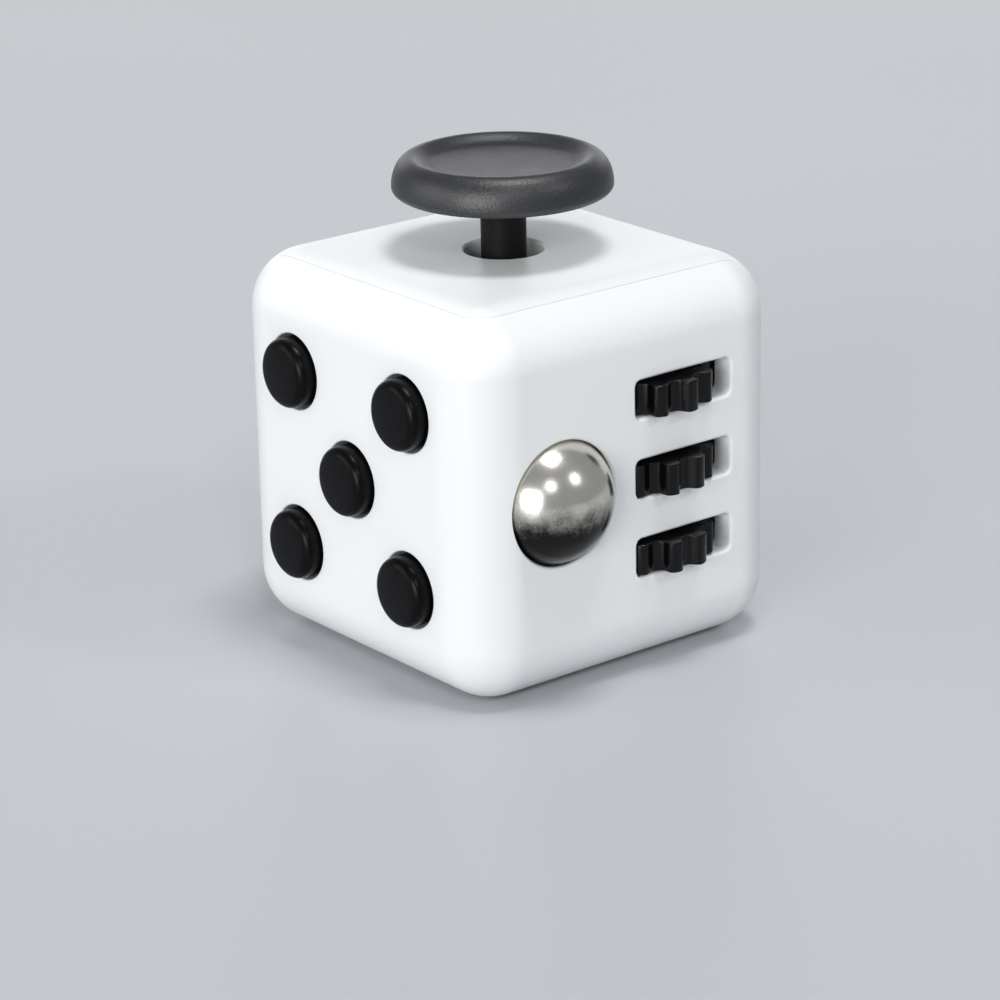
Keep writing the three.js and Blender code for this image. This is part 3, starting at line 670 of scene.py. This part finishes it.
class FidgetFrontShell(bpy.types.Operator):
    """Mould the front half: the button, roller and worry-dish faces"""
    bl_idname = "fidget.front_shell"
    bl_label = "Front Shell"

    def execute(self, context):
        scene = context.scene
        casing, buttons, roll, back = (scene.fidget_casing, scene.fidget_buttons,
                                       scene.fidget_roll, scene.fidget_back)
        wall, rim = mm(casing.wall), mm(casing.rim)
        shell = rounded_cube("front_casing", 0, casing, 16)
        carve(shell, "DIFFERENCE", rounded_cube("hollow", wall, casing, 8),
              rear_space(casing, mm(casing.seam_gap)))
        lip_side_gap, lip_end_gap = 0.1, 0.15
        ledge = rounded_cube("ledge", wall / 2 - lip_side_gap, casing, 8)
        carve(ledge, "INTERSECT", rear_space(casing, mm(casing.lip) + lip_end_gap))
        carve(shell, "DIFFERENCE", ledge)
        # The wall stays thick behind the dish: an oval bulge on its inside.
        bulge_size, bulge_sunk = (12.5, 9, 3.2, 1), 0.6
        bulge = turned("bulge", [(math.cos(a), math.sin(a)) for a in
                                 [math.pi * (i / 24 - 0.5) for i in range(25)]], 64,
                       at("breathe", w=-bulge_sunk) @ Matrix.Diagonal(bulge_size))
        carve(bulge, "INTERSECT", rounded_cube("inside", wall - 0.2, casing, 8))
        carve(shell, "UNION", bulge)
        ease(shell, 0.1)
        cutters = [flared_bore("bore", mm(buttons.hole) - 0.04, wall + 1, rim * 0.6,
                               at("click", spot.x, spot.y)) for spot in BUTTON_SPOTS]
        cutters.append(ball_seat(roll))
        for spot in GEAR_SPOTS:
            middle = spot.y + mm(roll.slot_rise)
            place = at("roll", spot.x, middle, spot.z) @ LIE_ALONG_V
            high = mm(roll.slot_height) / 2
            cutters += [flared_slot(roll, middle), drum("sweep", mm(roll.relief), -high, high, place)]
        cutters.append(dish_cutter(back))
        carve(shell, "DIFFERENCE", *cutters)
        smooth(shell)
        finish_piece(shell, "casing", moulded_white(casing.skin), "white_shell", "front_shell")
        return {"FINISHED"}


class FidgetRearShell(bpy.types.Operator):
    """Mould the rear half: the stick, rocker and dial faces"""
    bl_idname = "fidget.rear_shell"
    bl_label = "Rear Shell"

    def execute(self, context):
        scene = context.scene
        casing, stick, back = scene.fidget_casing, scene.fidget_stick, scene.fidget_back
        wall, rim = mm(casing.wall), mm(casing.rim)
        shell = rounded_cube("rear_casing", 0, casing, 16)
        carve(shell, "DIFFERENCE", rounded_cube("hollow", wall, casing, 8))
        carve(shell, "INTERSECT", rear_space(casing, 0))
        lip = rounded_cube("lip", wall / 2, casing, 8)
        carve(lip, "DIFFERENCE", rounded_cube("hollow", wall, casing, 8))
        carve(lip, "INTERSECT", rear_space(casing, mm(casing.lip)))
        carve(shell, "UNION", lip)
        low, high = node_box("rocker")
        reach = (high.x - low.x) / 2 + mm(back.rocker_gap)
        sweep = ROCKER_RADIUS + mm(back.rocker_gap)
        carve(shell, "DIFFERENCE",
              drum("rocker opening", sweep, -reach, reach, at("flip", w=ROCKER_SPOT.z) @ LIE_ALONG_U, 128))
        ease(shell, 0.1)
        dial_low, dial_high = node_box("dial")
        dial_radius = (dial_high.z - dial_low.z) / 2
        recess, shaft_hole = mm(back.dial_recess), 2.3
        seat_round = 0.2
        mouth = dial_radius + 0.35 + rim
        seat = [(0, -recess), *arc(dial_radius + 0.15, -recess + seat_round, seat_round, -90, 0, 3),
                *arc(mouth, -rim, rim, 180, 90, 5), (mouth, 1), (0, 1)]
        carve(shell, "DIFFERENCE",
              flared_bore("stem hole", mm(stick.hole) - 0.06, wall + 1, rim, at("glide")),
              turned("dial seat", seat, 160, at("spin")),
              drum("shaft hole", shaft_hole, -wall - 1, 0.5, at("spin")))
        smooth(shell)
        finish_piece(shell, "casing", moulded_white(casing.skin), "white_shell", "rear_shell")
        return {"FINISHED"}


# ---------------------------------------------------------------- toys

class FidgetButtons(bpy.types.Operator):
    """Turn the five buttons with their crowned tops and inner flanges"""
    bl_idname = "fidget.buttons"
    bl_label = "Buttons"

    def execute(self, context):
        settings = context.scene.fidget_buttons
        paint = moulded_black("button_satin", settings.skin, 0.22, level=0.09)
        radius, edge = mm(settings.radius), mm(settings.edge)
        low, high = node_box(BUTTON_NODES[0])
        rise = -HALF - low.y
        foot = -HALF - high.y
        flange = (high.x - low.x) / 2
        crown, draft = 0.09, 0.03
        shoulder = rise - crown
        profile = [
            (0, foot), (flange - 0.1, foot), (flange, foot + 0.1), (flange, foot + 0.6),
            (flange - 0.1, foot + 0.7), (radius + 0.15, foot + 0.7), (radius, foot + 0.85), (radius, 0.0),
            *arc(radius - draft - edge, shoulder - edge, edge, 0, 84, 9),
            *[(r * (radius - edge), rise - crown * r * r) for r in (0.75, 0.5, 0.25)],
            (0, rise),
        ]
        for node, spot in zip(BUTTON_NODES, BUTTON_SPOTS):
            button = turned(f"{node}_cap", profile, 96, at("click", spot.x, spot.y))
            smooth(button, 40)
            body = node.replace("click_", "")
            finish_piece(button, body, paint, "button_black", node)
        return {"FINISHED"}


class FidgetBall(bpy.types.Operator):
    """Grind the steel ball in its seat"""
    bl_idname = "fidget.ball"
    bl_label = "Ball"

    def execute(self, context):
        low, high = node_box("roller_ball")
        radius = (high.z - low.z) / 2
        ball = turned("bearing_ball", arc(0, 0, radius, -90, 90, 64), 128,
                      at("roll", BALL_SPOT.x, BALL_SPOT.y, BALL_SPOT.z))
        smooth(ball, 60)
        steel = polished_steel(context.scene.fidget_roll.steel, (low.z + high.z) / 2, radius)
        finish_piece(ball, "ball", steel, "ball_steel", "roller_ball")
        return {"FINISHED"}


class FidgetGears(bpy.types.Operator):
    """Cut the three thumb gears"""
    bl_idname = "fidget.gears"
    bl_label = "Gears"

    # Nearest tooth of each gear, from straight out of the face towards the right, in degrees.
    TURNS = (5.4, 16.36, -13.33)
    CROWN = 0.01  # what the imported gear's flat-sided crowns lack
    BORE = 1.25

    def outline(self, settings, tip, turn):
        """One gear's rim: teeth with flat crowns, steep flanks and round roots."""
        teeth, depth = settings.teeth, mm(settings.tooth_depth)
        count = teeth * 24
        steep = 1.9  # how square a tooth is: 0 is a plain wave
        points = []
        for i in range(count):
            around = 2 * math.pi * i / count
            wave = steep * math.cos(teeth * around)
            height = 0.5 + 0.5 * wave / math.sqrt(1 + wave * wave) * math.sqrt(1 + steep * steep) / steep
            reach = tip - depth * (1 - height)
            a = around + math.radians(turn - 90)
            points.append((reach * math.cos(a), reach * math.sin(a)))
        return points

    def execute(self, context):
        settings = context.scene.fidget_roll
        paint = moulded_black("gear_gloss", settings.gear_skin, 0.10, grain=0.3, relief=0.01, level=0.24)
        for i, (spot, turn) in enumerate(zip(GEAR_SPOTS, self.TURNS), 1):
            low, high = node_box(f"gear_{i}")
            tip, half = (high.x - low.x) / 2 + self.CROWN, (high.z - low.z) / 2
            rim = self.outline(settings, tip, turn)
            loops = [[(x, y, w) for x, y in rim] for w in (-half, half)]
            place = at("roll", spot.x, spot.y, spot.z) @ LIE_ALONG_V
            gear = lofted(f"thumb_gear_{i}", loops, place)
            carve(gear, "DIFFERENCE", drum("bore", self.BORE, -half - 1, half + 1, place, 48))
            ease(gear, 0.16, 3, 50)
            smooth(gear, 35)
            finish_piece(gear, "gear_" + "abc"[i - 1], paint, "gear_black", f"gear_{i}")
        return {"FINISHED"}


class FidgetStick(bpy.types.Operator):
    """Mould the thumb cap and its stem"""
    bl_idname = "fidget.stick"
    bl_label = "Thumb Stick"

    def execute(self, context):
        settings = context.scene.fidget_stick
        low, high = node_box("joystick_cap")
        wide, top = (high.x - low.x) / 2, high.z - SIDE
        crest, floor, dip = mm(settings.crest), mm(settings.floor), mm(settings.dip)
        # Heights above the top face: the rim's widest ring, its lowest ring and the underside.
        belt, rim_low, underside = 5.5, 4.72, 4.95
        boss_foot, socket, socket_roof = 3.35, 1.3, 5.35
        inset = 0.45
        under = oval_arc((crest + inset, belt), wide - crest - inset, belt - rim_low, -90, 0, 9)
        rim_out = [*under, *oval_arc((crest, belt), wide - crest, top - belt, 6, 90, 20)]
        slope = [(crest + (floor - crest) * t, top - dip * (3 * t * t - 2 * t ** 3))
                 for t in [i / 10 for i in range(1, 11)]]
        groove = [(floor - 0.12, top - dip - 0.05), (floor - 0.3, top - dip - 0.02)]
        hollow = top - dip - 0.12
        dish = [(floor * t, hollow + 0.1 * t * t) for t in (0.9, 0.7, 0.45, 0.2)]
        boss = [(2.75, boss_foot), (2.9, boss_foot + 0.15), (3.1, 4.6), (3.5, underside)]
        profile = [
            (0, socket_roof), (socket, socket_roof), (socket, boss_foot), *boss,
            (7.5, underside), (7.9, 4.8), *rim_out, *slope, *groove, *dish, (0, hollow),
        ]
        cap = turned("thumb_cap", profile, 160, at("glide"))
        smooth(cap, 40)
        finish_piece(cap, "stick", grained_grey(settings.cap_skin), "cap_grey", "joystick_cap")
        stem_low, stem_high = node_box("joystick_stem")
        foot, tip = stem_low.z - SIDE, stem_high.z - SIDE
        stem_radius, plug, shoulder = 1.9, 1.2, 3.2
        disc = [(0, foot), (2.3, foot), (2.4, foot + 0.1), (2.4, foot + 0.5), (2.3, foot + 0.6),
                (2.0, foot + 0.7)]
        shaft = [*disc, (stem_radius, foot + 0.9), (stem_radius, 3.1), (1.8, shoulder),
                 (plug, shoulder), (plug, tip - 0.15), (1.05, tip), (0, tip)]
        stem = turned("thumb_stem", shaft, 72, at("glide"))
        across = at("glide", w=STICK_SPOT.z) @ LIE_ALONG_V
        carve(stem, "DIFFERENCE", drum("pin hole", 0.55, -5, 5, across, 32))
        smooth(stem, 40)
        finish_piece(stem, "stick", moulded_black("stem_matt", settings.stem_skin, 0.42), "stem_black",
                     "joystick_stem")
        return {"FINISHED"}


class FidgetRocker(bpy.types.Operator):
    """Mould the rocker of the flip face"""
    bl_idname = "fidget.rocker"
    bl_label = "Rocker"

    def execute(self, context):
        low, high = node_box("rocker")
        half = (high.x - low.x) / 2
        radius, face, middle, lean = ROCKER_RADIUS, 3.8, 3.5, math.radians(12)
        lip = math.degrees(math.asin(face / radius))
        side = arc(0, 0, radius, -8, lip, 12)
        front = [(5.4 * t, middle + (face - middle) * t * t) for t in (0.9, 0.75, 0.5, 0.25)]
        right = [(1.3, -2.2), (4.4, -1.9), *side, *front]
        ring = [(0, -3.3), *right, (0, middle), *[(-v, w) for v, w in reversed(right)]]
        loops = [[(v, w, u) for v, w in ring] for u in (-half, half)]
        # The outline's axes are v and w; it is drawn along u.
        turn = Matrix(((0, 0, 1), (1, 0, 0), (0, 1, 0))).to_4x4()
        place = at("flip", w=ROCKER_SPOT.z) @ Matrix.Rotation(lean, 4, "X")
        rocker = lofted("flip_rocker", loops, place @ turn)
        ease(rocker, 0.35, 4, 40)
        carve(rocker, "DIFFERENCE", drum("pin hole", 0.85, -half - 1, half + 1, place @ LIE_ALONG_U, 40))
        smooth(rocker, 35)
        paint = moulded_black("rocker_gloss", context.scene.fidget_back.rocker_skin, 0.2, grain=0.3)
        finish_piece(rocker, "flipper", paint, "rocker_black", "rocker")
        return {"FINISHED"}


class FidgetDial(bpy.types.Operator):
    """Mould the ribbed dial with its finger hollow"""
    bl_idname = "fidget.dial"
    bl_label = "Dial"

    def execute(self, context):
        back = context.scene.fidget_back
        low, high = node_box("dial")
        radius, rise = (high.z - low.z) / 2, -HALF - low.x
        underside = 0.15 - mm(back.dial_recess)
        crown = 0.8
        steps = back.ribs * 8
        edge = [(radius - 0.25, underside), (radius, underside + 0.25), (radius, 0.2),
                (radius, rise - crown), *arc(radius - crown, rise - crown, crown, 8, 90, 12)]
        rib_depth, rib_trace = 0.16, 0.02
        loops = []
        for reach, w in edge:
            depth = rib_depth if 0.1 < w < rise - crown + 0.5 else rib_trace
            loops.append([self.rib(reach, depth, i, steps, back.ribs, w) for i in range(steps)])
        dial = lofted("spin_dial", loops, at("spin"))
        hub = [(0, -0.4), (0.8, -0.4), (0.8, -2.2), (2.1, -2.2), (2.2, -2.1), (2.2, underside + 0.2),
               (0, underside + 0.2)]
        carve(dial, "UNION", turned("hub", hub, 48, at("spin")))
        sphere, depth = 6.0, 1.1
        finger = turned("finger", arc(0, 0, sphere, -90, 90, 40), 96,
                        at("spin", 0, 6.3, rise + sphere - depth))
        carve(dial, "DIFFERENCE", finger)
        smooth(dial, 32)
        paint = moulded_black("dial_satin", back.dial_skin, 0.32)
        finish_piece(dial, "spinner", paint, "dial_black", "dial")
        return {"FINISHED"}

    @staticmethod
    def rib(reach, depth, i, steps, ribs, w):
        a = 2 * math.pi * i / steps
        r = reach - depth * (0.5 + 0.5 * math.cos(ribs * a)) ** 2
        return (r * math.cos(a), r * math.sin(a), w)


class FidgetWorks(bpy.types.Operator):
    """Give the pieces inside the casing their finishes"""
    bl_idname = "fidget.works"
    bl_label = "Works"

    # Piece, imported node, finish, the joint that presses it, and the axis along which it gives.
    SPRINGY = (
        ("dome_skirt_1", "click_dome_1", "silicone", "button_1_press", "y"),
        ("dome_skirt_5", "click_dome_5", "silicone", "button_5_press", "y"),
        ("ball_coil", "ball_spring", "spring_steel", "ball_press", "x"),
    )
    SPARE = 1.04  # a piece would give this much more than its joint travels; the squeeze is worked out but not applied

    def execute(self, context):
        recipes = {
            "nylon": natural_nylon((0.62, 0.61, 0.56)),
            "spring_steel": drawn_steel("spring_wire", (0.45, 0.46, 0.48)),
            "pin_steel": drawn_steel("ground_pin", (0.55, 0.56, 0.58), 0.18),
            "switch_metal": drawn_steel("switch_cover", (0.42, 0.43, 0.45), 0.34),
            "plunger_black": moulded_black("plunger_matt", (0.02, 0.02, 0.02), 0.45),
            "board_green": board_mask((0.02, 0.14, 0.05)),
            "silicone": milky_silicone((0.50, 0.52, 0.54)),
        }
        slots = {part["node"]: part["material_slot"] for part in frame["record"]["subparts"]}
        for node, packed in frame["nodes"].items():
            paint = recipes.get(slots[node])
            if paint:
                packed.data.materials.clear()
                packed.data.materials.append(paint)
        for name, node, slot, joint_name, along in self.SPRINGY:
            self.squeeze(name, node, recipes[slot], slot, joint_name, along)
        return {"FINISHED"}

    def squeeze(self, name, node, paint, slot, joint_name, along):
        """Stands a painted copy in for a springy node; its squeeze as the joint is pressed is worked out but not
        applied.
        """
        low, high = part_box(node)
        moving = joint(joint_name)
        fixed = next(n for n in moving["deforming_nodes"] if n["node"] == node)[f"fixed_end_{along}_m"]
        axis = {"x": X, "y": Y}[along]
        travel = moving["range_m"][1]
        keep = 1 - self.SPARE * travel / abs((high - low).dot(axis))
        piece = copied(name, node)
        finish_piece(piece, "casing", paint, slot, node)
        tuple(axis * fixed)
        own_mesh(piece)


# ---------------------------------------------------------------- stage

class FidgetStage(bpy.types.Operator):
    """Lay the floor, hang the lights and set the camera"""
    bl_idname = "fidget.stage"
    bl_label = "Stage"

    LOOK_AT = Vector((0, 0, 0.0165))
    SENSOR = 36.0
    FLOOR_REACH = 3.0
    # Name, place, size in metres and power in watts.
    SOFTBOXES = (
        ("window", (0.40, -0.85, 0.23), (0.48, 0.40), 5.2),
        ("side", (-0.45, -0.84, 0.30), (0.7, 0.5), 2.3),
        ("overhead", (0.12, 0.05, 0.95), (0.27, 0.27), 4.6),
        ("lamp_near", (0.67, -0.38, 0.57), (0.09, 0.09), 1.0),
        ("lamp_far", (0.70, 0.32, 0.58), (0.09, 0.09), 1.0),
        ("rear", (-0.80, 0.64, 0.21), (1.2, 0.30), 1.8),
    )
    SKY = (0.78, 0.81, 0.86, 1)
    SKY_STRENGTH = 0.38

    def camera_turn(self, settings):
        """Right, up and back directions of the camera."""
        back = Vector((math.sin(settings.azimuth) * math.cos(settings.elevation),
                       -math.cos(settings.azimuth) * math.cos(settings.elevation),
                       math.sin(settings.elevation)))
        right = Z.cross(back).normalized()
        up = back.cross(right)
        tilt = Matrix.Rotation(settings.roll, 3, back)
        return tilt @ right, tilt @ up, back

    def add_camera(self, scene, settings):
        right, up, back = self.camera_turn(settings)
        data = bpy.data.cameras.new("camera")
        data.lens = settings.lens
        data.sensor_width = self.SENSOR
        camera = bpy.data.objects.new("camera", data)
        scene.collection.objects.link(camera)
        spot = self.LOOK_AT + back * settings.distance + right * settings.slide[0] + up * settings.slide[1]
        camera.matrix_world = Matrix.Translation(spot) @ Matrix((right, up, back)).transposed().to_4x4()
        scene.camera = camera

    def add_softbox(self, scene, name, spot, size, watts):
        data = bpy.data.lights.new(name, "AREA")
        data.shape = "RECTANGLE"
        data.size, data.size_y = size
        data.energy = watts
        lamp = bpy.data.objects.new(name, data)
        scene.collection.objects.link(lamp)
        lamp.visible_camera = False
        lamp.location = spot
        lamp.rotation_euler = (Vector(spot) - self.LOOK_AT).to_track_quat("Z", "Y").to_euler()

    def add_floor(self, scene, settings):
        size = self.FLOOR_REACH
        corners = [(-size, -size, 0), (size, -size, 0), (size, size, 0), (-size, size, 0)]
        mesh = bpy.data.meshes.new("floor")
        mesh.from_pydata(corners, [], [(0, 1, 2, 3)])
        floor = bpy.data.objects.new("floor", mesh)
        scene.collection.objects.link(floor)
        recipe = Recipe("floor_paint")
        clouds = recipe.noise(180.0, detail=2.0)
        recipe.paint(Base_Color=recipe.blend(clouds, rgba(settings.floor), shade(settings.floor, 0.97)),
                     Roughness=0.42 + 0.06 * clouds)
        mesh.materials.append(recipe.material)

    def execute(self, context):
        scene = context.scene
        settings = scene.fidget_stage
        self.add_camera(scene, settings)
        self.add_floor(scene, settings)
        for box in self.SOFTBOXES:
            self.add_softbox(scene, *box)
        world = bpy.data.worlds.new("studio")
        world.use_nodes = True
        sky = world.node_tree.nodes["Background"]
        sky.inputs["Color"].default_value = self.SKY
        sky.inputs["Strength"].default_value = self.SKY_STRENGTH
        scene.world = world
        scene.view_settings.view_transform = "Standard"
        return {"FINISHED"}


# ---------------------------------------------------------------- add-on

class FidgetPanel(bpy.types.Panel):
    """Lists the steps that build the cube"""
    bl_idname = "VIEW3D_PT_fidget_cube"
    bl_label = "Fidget Cube"
    bl_space_type = "VIEW_3D"
    bl_region_type = "UI"
    bl_category = "Fidget Cube"

    def draw(self, context):
        for step in STEPS:
            self.layout.operator(step.bl_idname)
        for name in SETTINGS:
            box = self.layout.box()
            group = getattr(context.scene, name)
            for key in group.__annotations__:
                box.prop(group, key)


SETTINGS = {
    "fidget_casing": FidgetCasingSettings,
    "fidget_buttons": FidgetButtonSettings,
    "fidget_roll": FidgetRollSettings,
    "fidget_stick": FidgetStickSettings,
    "fidget_back": FidgetBackSettings,
    "fidget_stage": FidgetStageSettings,
}
STEPS = (FidgetFrontShell, FidgetRearShell, FidgetButtons, FidgetBall, FidgetGears, FidgetStick,
         FidgetRocker, FidgetDial, FidgetWorks, FidgetStage)


def register():
    for name, group in SETTINGS.items():
        bpy.utils.register_class(group)
        setattr(bpy.types.Scene, name, bpy.props.PointerProperty(type=group))
    for step in (*STEPS, FidgetPanel):
        bpy.utils.register_class(step)


def unregister():
    for step in reversed((*STEPS, FidgetPanel)):
        bpy.utils.unregister_class(step)
    for name, group in SETTINGS.items():
        delattr(bpy.types.Scene, name)
        bpy.utils.unregister_class(group)


def main():
    register()
    for step in STEPS:
        family, name = step.bl_idname.split(".")
        getattr(getattr(bpy.ops, family), name)()


if __name__ == "__main__":
    main()
